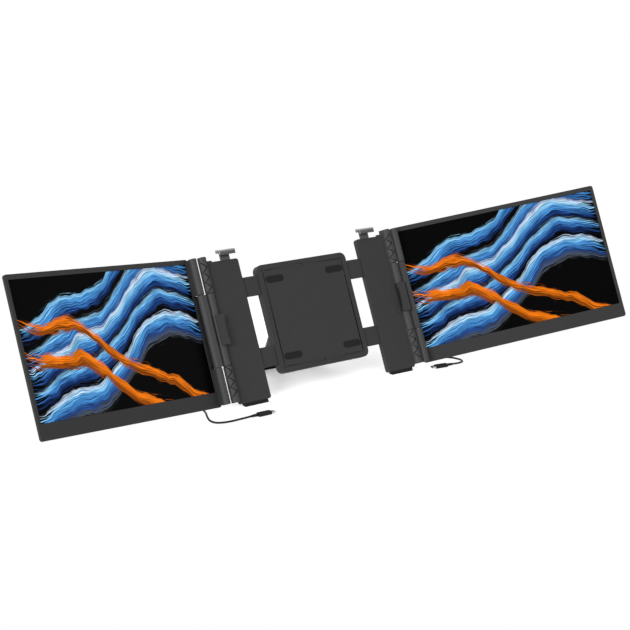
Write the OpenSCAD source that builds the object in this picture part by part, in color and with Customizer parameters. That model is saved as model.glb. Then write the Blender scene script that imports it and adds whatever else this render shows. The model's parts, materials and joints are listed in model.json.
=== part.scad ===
// Twin-screen extender for a laptop.
// Two slim monitors hang on double-axis hinge columns at the sides of a telescoping back frame.
// The frame leans back on two rubber feet and a kickstand, with its two short leads on the desk.
//
// Frame coordinates, before the lean: X to the user's right, Y away from the user, Z up the frame.
// Y = 0 is the plane of the four hinge axes, and Z = 0 the lower end of the hinge columns.
// Monitor coordinates: the same, turned about the outer hinge axis, with X outwards.

/* [Stance] */
// Lean of the frame, back from upright
lean = 26.3; // [20:0.1:30]
// Height of the hinge columns' lower ends above the desk, measured at their axes
desk_lift = 8.6; // [8.2:0.1:12]
// Swing of the left monitor towards the user
swing_left = 17.4; // [5:0.1:30]
// Swing of the right monitor towards the user
swing_right = 21.6; // [5:0.1:30]
// Opening of the kickstand from its recess
kick_angle = 48; // [44:1:56]

/* [Screen panel] */
// Width of the picture
picture_w = 344.2; // [300:0.1:360]
// Height of the picture
picture_h = 193.6; // [170:0.1:205]
// Bezel at the outer side
bezel_side = 6; // [5:0.5:10]
// Bezel at the hinge side
bezel_hinge = 6.5; // [5.5:0.5:10]
// Bezel above the picture
bezel_top = 7.6; // [5:0.1:12]
// Chin below the picture
chin_h = 23; // [16:0.5:30]
// Height of the picture's lower edge above the columns' lower ends
picture_z = 21.4; // [18:0.1:26]
// Thickness of the glass
glass_t = 0.8; // [0.6:0.1:1]
// Thickness of the backlight unit
backlight_t = 1.4; // [1:0.1:1.6]
// Margin of the glass under the bezel
glass_margin = 1.5; // [1:0.1:2.5]
// Black margin of the glass below the picture
glass_foot = 5; // [3:0.5:8]

/* [Monitor case] */
// Distance of the bezel's face behind the hinge axes
face_y = 10.1; // [9.6:0.1:12]
// Thickness of the front bezel
bezel_t = 1.6; // [1.4:0.1:2]
// Thickness of the bezel's lip over the glass
lip_t = 0.6; // [0.4:0.1:0.8]
// Thickness of the case at its edges
case_t = 5.2; // [5:0.1:6]
// Wall of the rear cover
case_wall = 1.4; // [1.2:0.1:1.6]
// Corner radius of the case
case_r = 4; // [2:0.5:8]
// Bevel round the rear cover's edge
case_bevel = 1.2; // [0.5:0.1:1.3]
// Distance of the electronics bulge from the hinge axis
bulge_x = 80; // [70:1:100]
// Width of the electronics bulge
bulge_w = 210; // [180:1:230]
// Height of the bulge's lower edge above the columns' lower ends
bulge_z = 6; // [4:1:12]
// Height of the electronics bulge
bulge_h = 62; // [50:1:80]
// How far the bulge stands out of the rear cover
bulge_t = 6.3; // [6.2:0.1:8]
// Bevel round the bulge
bulge_bevel = 1.6; // [1:0.1:1.8]
// Thickness of the driver board
board_t = 1.2; // [1:0.1:1.6]

/* [Hinge columns] */
// Half the distance between the two inner hinge axes
hinge_x = 174.2; // [165:0.1:185]
// Distance from the inner to the outer hinge axis
link_l = 16; // [15.9:0.1:18]
// Height of the hinge columns
column_h = 220.6; // [205:0.1:230]
// Height of each inner, engraved knuckle
inner_knuckle_h = 55; // [50:1:65]
// Height of each outer, smooth knuckle
outer_knuckle_h = 55; // [45:1:60]
// Radius of the inner knuckles
inner_knuckle_r = 6.6; // [6:0.1:6.6]
// Radius of the outer knuckles
outer_knuckle_r = 6.1; // [5.4:0.1:6.2]
// Radius of the link's inner barrel
link_inner_r = 6.1; // [5.6:0.1:6.2]
// Radius of the link's outer barrel
link_outer_r = 5.4; // [5:0.1:5.5]
// Width of the flat front on the link's outer barrel
link_flat = 5.7; // [4:0.1:5.8]
// Thickness of the link's web
link_web = 5; // [4:0.5:5]
// Seam between knuckles and link
seam = 0.3; // [0.2:0.05:0.5]
// Rounding of the knuckles' ends, as a bevel
knuckle_bevel = 0.6; // [0.3:0.1:1]
// Radius of the hinge shafts
shaft_r = 2.4; // [2:0.1:2.6]
// Length of each shaft inside its knuckle and inside the link
shaft_grip = 34; // [25:1:40]
// Running clearance of the shafts in the friction sleeves
shaft_play = 0.05; // [0.02:0.01:0.1]
// Wall of the friction sleeves
sleeve_wall = 0.9; // [0.6:0.1:1.2]
// Number of chevrons engraved on each inner knuckle
chevrons = 3; // [2:1:4]
// Height of one chevron
chevron_h = 15; // [10:0.5:15]
// Half width of the chevrons
chevron_w = 4.2; // [3:0.1:4.4]
// Width of the engraved line
chevron_line = 1.4; // [0.6:0.1:1.6]
// Depth of the engraving
chevron_depth = 0.8; // [0.3:0.1:1]
// Turn of the left column's engraving from straight ahead to the outside
chevron_turn_left = 16; // [0:1:20]
// Turn of the right column's engraving from straight ahead to the inside
chevron_turn_right = 26; // [0:1:28]
// Thickness of the steel leaf inside the case
leaf_t = 0.8; // [0.5:0.1:0.85]
// Width of the case's flange behind the link
flange_w = 5; // [3:0.1:5]
// Reach of the leaf inside the case
leaf_l = 22; // [16:1:30]

/* [Arms] */
// Distance of the frame's front face before the hinge axes
frame_front = 0.4; // [0.3:0.1:0.8]
// Thickness of the arm panels
arm_t = 8; // [7.5:0.1:8.5]
// Half the distance between the arm panels' inner edges
arm_in = 112; // [108:1:114]
// Gap between an arm panel and the inner hinge axis
arm_gap = 7.8; // [7.6:0.1:8]
// Height of the arm panels' top edges
arm_top = 212; // [200:1:214]
// Reach of the arm panels below the columns
arm_drop = 4; // [2:0.5:5]
// Corner radius of the arm panels
arm_r = 4; // [2:0.5:6]
// Depth of the ribbed pockets in the panels' backs
rib_depth = 2; // [1:0.1:2.2]
// Thickness of the ribs between the pockets
rib_t = 3; // [2:0.5:4]
// Number of pockets up each panel
rib_cells = 6; // [3:1:8]
// Height of each sliding tongue
tongue_h = 30; // [24:1:34]
// Thickness of the tongues
tongue_t = 4; // [3.5:0.1:4.2]
// Half the gap between the tongues' inner ends
tongue_in = 22; // [20:1:26]
// Travel of an arm inwards from rest
slide_in = 18; // [10:1:18]
// Travel of an arm outwards from rest
slide_out = 32; // [20:1:34]

/* [Centre housing] */
// Half width of the housing
housing_half = 84; // [80:1:86]
// Height of the housing's lower edge
housing_z = 28; // [20:1:34]
// Height of the housing
housing_h = 168; // [160:1:176]
// Depth of the rear housing behind the front cover
housing_d = 10.4; // [10.2:0.1:12]
// Corner radius of the housing
housing_r = 10; // [6:1:14]
// Thickness of the front cover
cover_t = 2; // [1.5:0.1:2.5]
// Sliding clearance round the tongues
slide_play = 0.2; // [0.1:0.05:0.3]
// Radius of the travel stops
stop_r = 2; // [1.5:0.1:2.5]
// Distance of the travel stops from the middle
stop_x = 64; // [60:1:65]
// Thickness of the rubber pads behind the lid
pad_t = 0.8; // [0.6:0.1:1]

/* [Lid grips] */
// Gap for the lid's thickness in clips and hooks
lid_gap = 5.6; // [5.6:0.1:7]
// Height of the side clips' centre
clip_z = 109; // [100:1:120]
// Height of the side clips
clip_h = 46; // [35:1:56]
// Thickness of a clip's side wall
clip_wall = 1.6; // [1.4:0.1:2]
// Thickness of a clip's head
clip_head_t = 2.4; // [2:0.1:3]
// Reach of a clip's head over the lid, from its side wall
clip_lip = 1.6; // [1.2:0.1:3]
// Reach of a clip's head outside its side wall
clip_wing = 11.6; // [8:0.1:12]
// Height of a clip's two ears
clip_ear = 9; // [6:0.5:14]
// Thickness of a clip's rubber lining
clip_pad_t = 0.6; // [0.4:0.1:1]
// Distance of the top hooks' centre from the middle
hook_x = 132; // [130:0.1:133]
// Width of the top hooks
hook_w = 29.8; // [26:0.1:34]
// Height of the lid's top edge
lid_top = 222.8; // [218:0.1:225]
// Reach of the hook's lip down over the lid
hook_lip = 3.8; // [2.5:0.1:5]
// Thickness of the hook's lip
hook_lip_t = 2.3; // [1.5:0.1:3]
// Thickness of the hook's head at the lip
hook_head_t = 3; // [2.5:0.1:4.5]
// Width of the hook's stem
stem_w = 16; // [10:1:17]
// Thickness of the hook's stem
stem_t = 3; // [2.4:0.1:3.2]
// Length of the hook's stem
stem_l = 80; // [60:1:84]
// Thickness of the hook's rubber pad
hook_pad_t = 0.8; // [0.5:0.1:1.2]

/* [Kickstand] */
// Height of the kickstand's pivot up the frame
kick_z = 140; // [132:1:144]
// Width of the kickstand
kick_w = 100; // [80:1:104]
// Thickness of the kickstand plate
kick_t = 3.2; // [2.4:0.1:3.4]
// Radius of the kickstand's pin
kick_pin_r = 1.5; // [1.2:0.1:1.8]
// Radius of the kickstand's barrel
kick_barrel_r = 2.9; // [2.7:0.1:3.2]
// Radius of the kickstand's rubber foot
kick_foot_r = 3.4; // [3:0.1:4]
// Running clearance of the pin
kick_play = 0.05; // [0.02:0.01:0.1]

/* [Leads and keys] */
// Diameter of the leads
lead_d = 3; // [2.6:0.1:3.4]
// Height of the charging sockets' centre
socket_z = 18; // [16:0.5:22]
// Distance between the two sockets of a monitor
socket_pitch = 16; // [14:0.5:20]
// Travel of the keys
key_travel = 0.7; // [0.4:0.1:0.9]
// Height of the keys
key_h = 12; // [8:0.5:14]
// Distance between the two keys
key_pitch = 22; // [18:1:26]

/* [Hidden] */
$fn = 64;
eps = 0.01;
cut = 1;

DARK = [0.17, 0.17, 0.17];
GREY = [0.32, 0.32, 0.32];
SOFT = [0.10, 0.10, 0.10];
STEEL = [0.62, 0.63, 0.65];
PICTURE = [0.10, 0.32, 0.62];

// Outer hinge axis, and the monitor case around the picture, in monitor coordinates
outer_x = hinge_x + link_l;
case_x0 = 0.5;
picture_x = case_x0 + bezel_hinge;
case_x1 = picture_x + picture_w + bezel_side;
case_z0 = picture_z - chin_h;
case_z1 = picture_z + picture_h + bezel_top;
back_y = face_y + case_t;
glass_y = face_y + lip_t;
light_y = glass_y + glass_t;
floor_y = back_y - case_wall;
bulge_y = back_y + bulge_t;
bulge_floor = bulge_y - case_wall;
bulge_x1 = bulge_x + bulge_w;
glass_x0 = picture_x - glass_margin;
glass_x1 = picture_x + picture_w + glass_margin;
glass_z0 = picture_z - glass_foot;
glass_z1 = picture_z + picture_h + glass_margin;

// Arm panel and what sits on it
arm_out = hinge_x - arm_gap;
arm_back = arm_t - frame_front;
pad_front = -frame_front - pad_t;
screw_inset = 9;
screw_drill = 20;
front_in = cover_t - frame_front;
rear_y0 = front_in + housing_d;
tongue_inset = 1.6 * screw_inset + tongue_h / 2;
tongue_low = housing_z + tongue_inset;
tongue_high = housing_z + housing_h - tongue_inset;
tongue_y = front_in + slide_play;
channel_floor = tongue_y + tongue_t + slide_play;
tenon_t = 3;
tenon_y = arm_back - (arm_t + tenon_t) / 2;
tenon_l = 10;
tenon_inset = 6;
root_bevel = 3;
stem_y = tongue_y;
stem_top = lid_top + hook_pad_t;
stem_play = 0.3;
stem_x0 = hook_x - stem_w / 2;
rib_x0 = stem_x0 + stem_w + 4;
rib_x1 = arm_out - 3;

// Side clip
clip_x1 = hinge_x - link_inner_r - 0.5;
clip_x0 = clip_x1 - clip_wall;
clip_head_y = pad_front - lid_gap;

// Kickstand pivot, in frame coordinates
kick_rest = rear_y0 - kick_t - 0.3;
kick_y = kick_rest + kick_t - 0.5;
kick_mid = -kick_t / 2 + 0.5;
kick_side = kick_w / 2 + 1;
ear_w = 7;
ear_r = kick_pin_r + 2.1;
kick_world = desk_lift + kick_z * cos(lean) - kick_y * sin(lean);
kick_l = (kick_world - kick_foot_r + kick_mid * sin(kick_angle - lean)) / cos(kick_angle - lean);

// The origin lies on the desk under the middle of the object's outline, leads not counted
function reach(a) = outer_x + case_x1 * cos(a) + (back_y - case_bevel) * sin(a);
corner_loss = case_r * (sin(swing_right) * cos(lean) + sin(lean)
    - norm([sin(swing_right) * cos(lean), sin(lean)]));
front_y = (face_y * cos(swing_right) - case_x1 * sin(swing_right)) * cos(lean)
    + case_z0 * sin(lean) + corner_loss;
rear_y = kick_y * cos(lean) + kick_z * sin(lean) + kick_l * sin(kick_angle - lean)
    + kick_mid * cos(kick_angle - lean) + kick_foot_r;
origin_x = (reach(swing_right) - reach(swing_left)) / 2;
origin_y = (front_y + rear_y) / 2;

// ---- shared helpers ----

function swing(s) = s < 0 ? swing_left : swing_right;

// Puts frame coordinates into the leaned stance on the desk
module leaned() {
    translate([-origin_x, -origin_y, desk_lift]) rotate([-lean, 0, 0]) children();
}

// Builds on the right for s = 1 and mirrored on the left for s = -1
module side(s) {
    leaned() mirror([s < 0 ? 1 : 0, 0, 0]) children();
}

// Monitor coordinates on either side
module on_monitor(s) {
    side(s) translate([outer_x, 0, 0]) rotate([0, 0, -swing(s)]) children();
}

// Rectangle with round corners
module rounded(x0, x1, z0, z1, r) {
    translate([x0 + r, z0]) square([x1 - x0 - 2 * r, z1 - z0]);
    translate([x0, z0 + r]) square([x1 - x0, z1 - z0 - 2 * r]);
    for (x = [x0 + r, x1 - r], z = [z0 + r, z1 - r]) translate([x, z]) circle(r);
}

// Upright plate between two depths, with round corners
module upright(x0, x1, z0, z1, y0, y1, r) {
    translate([0, y1, 0]) rotate([90, 0, 0]) linear_extrude(y1 - y0)
        rounded(x0, x1, z0, z1, r);
}

// Block given by its two corners
module block(a, b) {
    translate(a) cube(b - a);
}

// Bar along X between two places
module bar_x(x0, x1, r) {
    translate([x0, 0, 0]) rotate([0, 90, 0]) cylinder(r = r, h = x1 - x0);
}

// Barrel from z0 to z1 with bevelled ends
module barrel(r, z0, z1, bevel) {
    rotate_extrude() polygon([[0, z0], [r - bevel, z0], [r, z0 + bevel],
        [r, z1 - bevel], [r - bevel, z1], [0, z1]]);
}

// Lower and upper span of a pair of knuckles of height h
function spans(h) = [[0, h], [column_h - h, column_h]];

// ---- hinge columns ----

// Engraved line of chevrons, as a chain of slanted bars that meet end to end
module chevron_band(z0, turn) {
    run = norm([2 * chevron_w, chevron_h / 2]);
    tilt = atan2(chevron_h / 2, 2 * chevron_w);
    rotate([0, 0, turn]) difference() {
        for (i = [0 : 2 * chevrons - 1]) translate([0, 0, z0 + (i + 0.5) * chevron_h / 2])
            rotate([0, i % 2 == 0 ? tilt : -tilt, 0])
            block([-run / 2 - 0.3, -inner_knuckle_r - cut, -chevron_line / 2],
                [run / 2 + 0.3, -2, chevron_line / 2]);
        translate([0, 0, z0 - chevron_h]) cylinder(r = inner_knuckle_r - chevron_depth,
            h = (chevrons + 2) * chevron_h);
    }
}

// Inner knuckles: fixed to the arm panel, with a tenon in its edge
module inner_knuckles(s) color(GREY) side(s) {
    turn = s < 0 ? chevron_turn_left : -chevron_turn_right;
    for (i = [0, 1]) {
        z = spans(inner_knuckle_h)[i];
        mouth = i == 0 ? z[1] : z[0];
        band = i == 0 ? z[1] - chevron_line - chevrons * chevron_h : z[0] + chevron_line;
        difference() {
            union() {
                translate([hinge_x, 0, 0]) barrel(inner_knuckle_r, z[0], z[1], knuckle_bevel);
                translate([0, 0, z[0] + knuckle_bevel]) linear_extrude(z[1] - z[0] - knuckle_bevel)
                    polygon([[arm_out, -frame_front], [hinge_x, -frame_front],
                        [hinge_x, arm_back - root_bevel / 2], [hinge_x - root_bevel, arm_back],
                        [arm_out, arm_back]]);
                block([arm_out - tenon_l, tenon_y, z[0] + tenon_inset],
                    [arm_out + eps, tenon_y + tenon_t, z[1] - tenon_inset]);
            }
            translate([hinge_x, 0, 0]) chevron_band(band, turn);
            translate([hinge_x, 0, i == 0 ? mouth - shaft_grip : mouth - cut])
                cylinder(r = shaft_r, h = shaft_grip + cut);
        }
    }
}

// Shafts of one axis: fixed in the two knuckles, turning in the link
module shafts(knuckle_h) {
    for (z = [knuckle_h - shaft_grip, column_h - knuckle_h - seam - shaft_grip])
        translate([0, 0, z]) cylinder(r = shaft_r, h = 2 * shaft_grip + seam - slide_play);
}

module inner_shafts(s) color(STEEL) side(s) translate([hinge_x, 0, slide_play / 2])
    shafts(inner_knuckle_h);

module outer_shafts(s) color(STEEL) on_monitor(s) translate([0, 0, slide_play / 2])
    shafts(outer_knuckle_h);

// Seats of the friction sleeves at both ends of one barrel of the link
module sleeve_seats(knuckle_h, r, extra) {
    z0 = knuckle_h + seam;
    for (z = [z0 - extra, column_h - z0 - shaft_grip])
        translate([0, 0, z]) cylinder(r = r, h = shaft_grip + extra);
}

lobe_y = -link_outer_r * 0.97;
lobe_z = outer_knuckle_h + seam + knuckle_bevel;
web_z = max(inner_knuckle_h, outer_knuckle_h) + seam + knuckle_bevel;

// Link: two barrels, the outer one with a flat front, and the web between them
module link(s) color(GREY) side(s) difference() {
    union() {
        translate([hinge_x, 0, 0]) barrel(link_inner_r, inner_knuckle_h + seam,
            column_h - inner_knuckle_h - seam, knuckle_bevel);
        translate([outer_x, 0, 0]) barrel(link_outer_r, outer_knuckle_h + seam,
            column_h - outer_knuckle_h - seam, knuckle_bevel);
        block([hinge_x, -link_web / 2, web_z], [outer_x, link_web / 2, column_h - web_z]);
        translate([outer_x, 0, lobe_z]) linear_extrude(column_h - 2 * lobe_z)
            polygon([[0, 0], [0, lobe_y], [-link_flat, lobe_y], [-link_flat - 1, -link_web / 2],
                [-link_flat - 1, 0]]);
    }
    translate([hinge_x, 0, 0])
        sleeve_seats(inner_knuckle_h, shaft_r + shaft_play + sleeve_wall, cut);
    translate([outer_x, 0, 0])
        sleeve_seats(outer_knuckle_h, shaft_r + shaft_play + sleeve_wall, cut);
}

module friction_sleeves(s) color(STEEL) side(s) {
    for (p = [[hinge_x, inner_knuckle_h], [outer_x, outer_knuckle_h]])
        translate([p[0], 0, 0]) difference() {
            sleeve_seats(p[1], shaft_r + shaft_play + sleeve_wall, 0);
            translate([0, 0, p[1] - cut]) cylinder(r = shaft_r + shaft_play,
                h = column_h - 2 * p[1] + 2 * cut);
        }
}

// Outline of an outer knuckle: barrel, boss on the bezel, and cheek round the case's edge
module outer_knuckle_outline() {
    boss = case_x0 + bezel_hinge - 0.6;
    cheek = case_x0 - 1.3;
    polygon([[cheek, 0], [outer_knuckle_r * 0.96, 0], [boss - 1.2, face_y * 0.62], [boss, face_y],
        [case_x0 - 0.2, face_y], [case_x0 - 0.2, back_y], [cheek + 0.6, back_y],
        [cheek, back_y - case_bevel]]);
}

module outer_knuckles(s) color(GREY) on_monitor(s) {
    for (i = [0, 1]) {
        z = spans(outer_knuckle_h)[i];
        difference() {
            union() {
                barrel(outer_knuckle_r, z[0], z[1], knuckle_bevel);
                translate([0, 0, z[0] + knuckle_bevel])
                    linear_extrude(z[1] - z[0] - 2 * knuckle_bevel) outer_knuckle_outline();
                block([-1, floor_y - leaf_t - 0.05, z[0] + tenon_inset],
                    [leaf_l, floor_y - 0.05, z[1] - tenon_inset]);
            }
            translate([0, 0, i == 0 ? z[1] - shaft_grip : z[0] - cut])
                cylinder(r = shaft_r, h = shaft_grip + cut);
        }
    }
}

// ---- monitors ----

module front_bezel(s) color(DARK) on_monitor(s) difference() {
    upright(case_x0, case_x1, case_z0, case_z1, face_y, face_y + bezel_t, case_r);
    upright(picture_x - 0.4, picture_x + picture_w + 0.4, picture_z - 0.4,
        picture_z + picture_h + 0.4, face_y - cut, back_y, 0.8);
    block([glass_x0 - 0.1, glass_y, glass_z0 - 0.1], [glass_x1 + 0.1, back_y, glass_z1 + 0.1]);
}

module screen_glass(s) color(PICTURE) on_monitor(s)
    block([glass_x0, glass_y, glass_z0], [glass_x1, light_y, glass_z1]);

module backlight(s) color("white") on_monitor(s)
    block([glass_x0, light_y, glass_z0], [glass_x1, light_y + backlight_t, glass_z1]);

// Case outline with a bevelled rear edge
module case_shell() {
    hull() {
        upright(case_x0, case_x1, case_z0, case_z1, face_y + bezel_t, back_y - case_bevel,
            case_r, $fn = 32);
        upright(case_x0 + case_bevel, case_x1 - case_bevel, case_z0 + case_bevel,
            case_z1 - case_bevel, floor_y, back_y, case_r, $fn = 32);
    }
    hull() {
        upright(bulge_x, bulge_x1, bulge_z, bulge_z + bulge_h, floor_y, bulge_y - bulge_bevel,
            case_r, $fn = 32);
        upright(bulge_x + bulge_bevel, bulge_x1 - bulge_bevel, bulge_z + bulge_bevel,
            bulge_z + bulge_h - bulge_bevel, floor_y, bulge_y, case_r, $fn = 32);
    }
}

flange_y = face_y + bezel_t / 4;
flange_z = outer_knuckle_h - knuckle_bevel + 0.1;
socket_size = [7.5, 3.3, 9];
socket_mid = bulge_floor - 0.3 - socket_size[1] / 2;
board_y = socket_mid - socket_size[1] / 2 - board_t;
board_rim = 4;
board_end = 6;
post_r = 2.6;
post_x0 = 14;
post_x1 = 18;
post_z = 8;

// Keys stand in slots in the bulge's outer wall
key_z = [bulge_z + bulge_h / 2 - key_pitch / 2, bulge_z + bulge_h / 2 + key_pitch / 2];
key_t = 2.8;
key_play = 0.2;

module rear_cover(s) color(DARK) on_monitor(s) {
    difference() {
        case_shell();
        block([case_x0 + case_wall, face_y, case_z0 + case_wall],
            [case_x1 - case_wall, floor_y, case_z1 - case_wall]);
        block([bulge_x + case_wall, face_y, bulge_z + case_wall],
            [bulge_x1 - case_wall, bulge_floor, bulge_z + bulge_h - case_wall]);
        // Slots for the knuckles' leaves in the hinge-side wall
        for (z = spans(outer_knuckle_h))
            block([case_x0 - cut, floor_y - leaf_t - 0.15, z[0] + tenon_inset - 0.1],
                [case_x0 + case_wall + cut, floor_y, z[1] - tenon_inset + 0.1]);
        // Mouths of the two sockets, and slots of the two keys
        for (z = [socket_z, socket_z + socket_pitch])
            block([bulge_x - cut, socket_mid - socket_size[1] / 2 - 0.1, z - socket_size[2] / 2 - 0.1],
                [bulge_x + case_wall + cut, socket_mid + socket_size[1] / 2 + 0.1,
                z + socket_size[2] / 2 + 0.1]);
        for (z = key_z)
            block([bulge_x1 - case_wall - cut, socket_mid - key_t / 2 - key_play,
                z - key_h / 2 - key_play],
                [bulge_x1 + cut, socket_mid + key_t / 2 + key_play, z + key_h / 2 + key_play]);
    }
    // Flange behind the link, between the outer knuckles
    translate([0, 0, flange_z]) linear_extrude(column_h - 2 * flange_z)
        polygon([[case_x0 + eps, flange_y], [case_x0 + eps, back_y - case_bevel],
            [case_x0 - flange_w + 1.6, back_y - case_bevel],
            [case_x0 - flange_w, flange_y + 1.6], [case_x0 - flange_w, flange_y + 0.4],
            [case_x0 - flange_w + 0.4, flange_y]]);
    // Posts that carry the driver board
    for (x = [bulge_x + post_x0, bulge_x1 - post_x1],
        z = [bulge_z + post_z, bulge_z + bulge_h - post_z])
        translate([x, bulge_floor + eps, z]) rotate([90, 0, 0])
            cylinder(r = post_r, h = bulge_floor - board_y - board_t + eps, $fn = 32);
}

module driver_board(s) color([0.08, 0.30, 0.16]) on_monitor(s)
    block([bulge_x + case_wall + 0.4, board_y, bulge_z + board_rim],
        [bulge_x1 - case_wall - board_end, board_y + board_t, bulge_z + bulge_h - board_rim]);

module charge_sockets(s) color(STEEL) on_monitor(s)
    for (z = [socket_z, socket_z + socket_pitch])
        translate([bulge_x + 0.2, socket_mid, z]) difference() {
            block([0, -socket_size[1] / 2, -socket_size[2] / 2],
                [socket_size[0], socket_size[1] / 2, socket_size[2] / 2]);
            stadium(-cut, socket_size[0] - 0.8, tip_size[1] + 0.2, tip_size[2] + 0.2);
        }

// Key with an inner shoulder, standing in its slot in the bulge's outer wall
module key(s, z) color(GREY) on_monitor(s) {
    inside = bulge_x1 - case_wall - 0.1;
    block([inside - 1, socket_mid - key_t / 2, z - key_h / 2],
        [bulge_x1 + key_travel + 0.2, socket_mid + key_t / 2, z + key_h / 2]);
    block([inside - 1, socket_mid - key_t / 2 - 0.2, z - key_h / 2 - 1],
        [inside, socket_mid + key_t / 2, z + key_h / 2 + 1]);
}

module power_key(s) key(s, key_z[1]);

module menu_key(s) key(s, key_z[0]);

// ---- leads ----

// Bar along X with a stadium section, centred on the axis
module stadium(x0, x1, w, h) {
    translate([x0, 0, 0]) rotate([90, 0, 90]) linear_extrude(x1 - x0) {
        square([w, h - w], center = true);
        for (k = [-1, 1]) translate([0, k * (h - w) / 2]) circle(w / 2);
    }
}

// Plug along +X: metal tip ahead of x = 0, grip and strain relief behind it
module plug(tip) {
    stadium(-grip_size[0], 0, grip_size[1], grip_size[2]);
    if (tip) stadium(-eps, tip_size[0], tip_size[1], tip_size[2]);
    translate([-grip_size[0] - relief_l, 0, 0]) rotate([0, 90, 0])
        cylinder(r1 = lead_d / 2 + 0.3, r2 = 2.2, h = relief_l + eps);
}

// Monitor end of the lead, pushed home in the lower socket
module screen_plug(s) color(SOFT) on_monitor(s)
    translate([bulge_x - 0.2, socket_mid, socket_z]) plug(true);

// Laptop end of the lead, flat on the desk
module laptop_plug(s) color(SOFT) on_desk() translate(plug_at(s)) rotate([0, 0, plug_turn(s)])
    rotate([90, 0, 0]) plug(true);

module on_desk() {
    translate([-origin_x, -origin_y, 0]) children();
}

// Tube along a route, closed at both ends
module tube(route, r) {
    n = len(route);
    sides = 8;
    way = [for (i = [0 : n - 1]) unit(route[min(i + 1, n - 1)] - route[max(i - 1, 0)])];
    first = unit(cross(way[0], [0.2, 0.3, 1]));
    across = carry(way, [first], 1);
    rings = [for (i = [0 : n - 1]) for (k = [0 : sides - 1])
        route[i] + r * (cos(k * 45) * across[i] + sin(k * 45) * cross(way[i], across[i]))];
    walls = [for (i = [0 : n - 2]) for (k = [0 : sides - 1])
        [i * sides + k, i * sides + (k + 1) % sides,
        (i + 1) * sides + (k + 1) % sides, (i + 1) * sides + k]];
    polyhedron(rings, concat([[for (k = [sides - 1 : -1 : 0]) k]],
        walls, [[for (k = [0 : sides - 1]) (n - 1) * sides + k]]));
}

function unit(v) = v / norm(v);

// Carries the first ring's direction along the route without twist
function carry(way, got, i) = i >= len(way) ? got :
    carry(way, concat(got, [unit(got[i - 1] - way[i] * (got[i - 1] * way[i]))]), i + 1);

// Point of the smooth curve through four neighbouring route points
function bend(a, b, c, d, t) = 0.5 * (2 * b + (c - a) * t + (2 * a - 5 * b + 4 * c - d) * t * t
    + (3 * b - a - 3 * c + d) * t * t * t);

function smooth(p, k) = concat([for (i = [1 : len(p) - 3], j = [0 : k - 1])
    bend(p[i - 1], p[i], p[i + 1], p[i + 2], j / k)], [p[len(p) - 2]]);

// Monitor coordinates turned into places above the desk
function monitor_point(s, p) = frame_point([s * (outer_x + p[0] * cos(swing(s)) + p[1] * sin(swing(s))),
    p[1] * cos(swing(s)) - p[0] * sin(swing(s)), p[2]]);

function frame_point(p) = [p[0], p[1] * cos(lean) + p[2] * sin(lean),
    desk_lift + p[2] * cos(lean) - p[1] * sin(lean)];

module lead(s) color(SOFT) on_desk() {
    start = monitor_point(s, [lead_start_x, socket_mid, socket_z]);
    before = monitor_point(s, [lead_start_x + 10, socket_mid, socket_z]);
    turn = plug_turn(s);
    tail = grip_size[0] + relief_l;
    finish = plug_at(s) - tail * [cos(turn), sin(turn), 0];
    after = plug_at(s) - (tail - 10) * [cos(turn), sin(turn), 0];
    tube(smooth(concat([before, start], s < 0 ? route_left : route_right, [finish, after]), 5),
        lead_d / 2);
}

// ---- arms ----

module arm_panel(s) color(DARK) side(s) difference() {
    union() {
        upright(arm_in, arm_out, -arm_drop, arm_top, -frame_front, arm_back, arm_r);
        for (z = [tongue_low, tongue_high])
            block([tongue_in, tongue_y, z - tongue_h / 2],
                [arm_in + 2, tongue_y + tongue_t, z + tongue_h / 2]);
    }
    for (z = [tongue_low, tongue_high])
        upright(stop_x - slide_out - stop_r - slide_play, stop_x + slide_in + stop_r + slide_play,
            z - stop_r - slide_play, z + stop_r + slide_play, tongue_y - cut, tongue_y + tongue_t + cut,
            stop_r + slide_play - eps);
    // Slot of the hook's stem, open at the top
    block([stem_x0 - stem_play, stem_y - stem_play, stem_top - stem_l - hook_down - 2],
        [stem_x0 + stem_w + stem_play, stem_y + stem_t + stem_play, arm_top + cut]);
    // Pockets of the knuckles' tenons and of the clip's peg
    for (z = spans(inner_knuckle_h))
        block([arm_out - tenon_l - 0.1, tenon_y - 0.05, z[0] + tenon_inset - 0.05],
            [arm_out + cut, tenon_y + tenon_t + 0.05, z[1] - tenon_inset + 0.05]);
    block([peg_x0 - 0.05, -frame_front - cut, clip_z - peg_h / 2 - 0.05],
        [peg_x0 + peg_w + 0.05, -frame_front + peg_t + 0.1, clip_z + peg_h / 2 + 0.05]);
    // Ribbed back
    pitch = (arm_top + arm_drop - 2 * arm_r) / rib_cells;
    for (i = [0 : rib_cells - 1])
        block([rib_x0, arm_back - rib_depth, -arm_drop + arm_r + i * pitch + rib_t / 2],
            [rib_x1, arm_back + cut, -arm_drop + arm_r + (i + 1) * pitch - rib_t / 2]);
}

// Rubber foot under the panel, cut level with the desk
module arm_foot(s) color(SOFT) side(s) translate([foot_x0, 0, 0]) rotate([90, 0, 90])
    linear_extrude(foot_w) polygon([[foot_y0, -arm_drop], [foot_y0, sole(foot_y0)],
        [foot_y1, sole(foot_y1)], [foot_y1, -arm_drop]]);

function sole(y) = (y * sin(lean) - desk_lift) / cos(lean);

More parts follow.
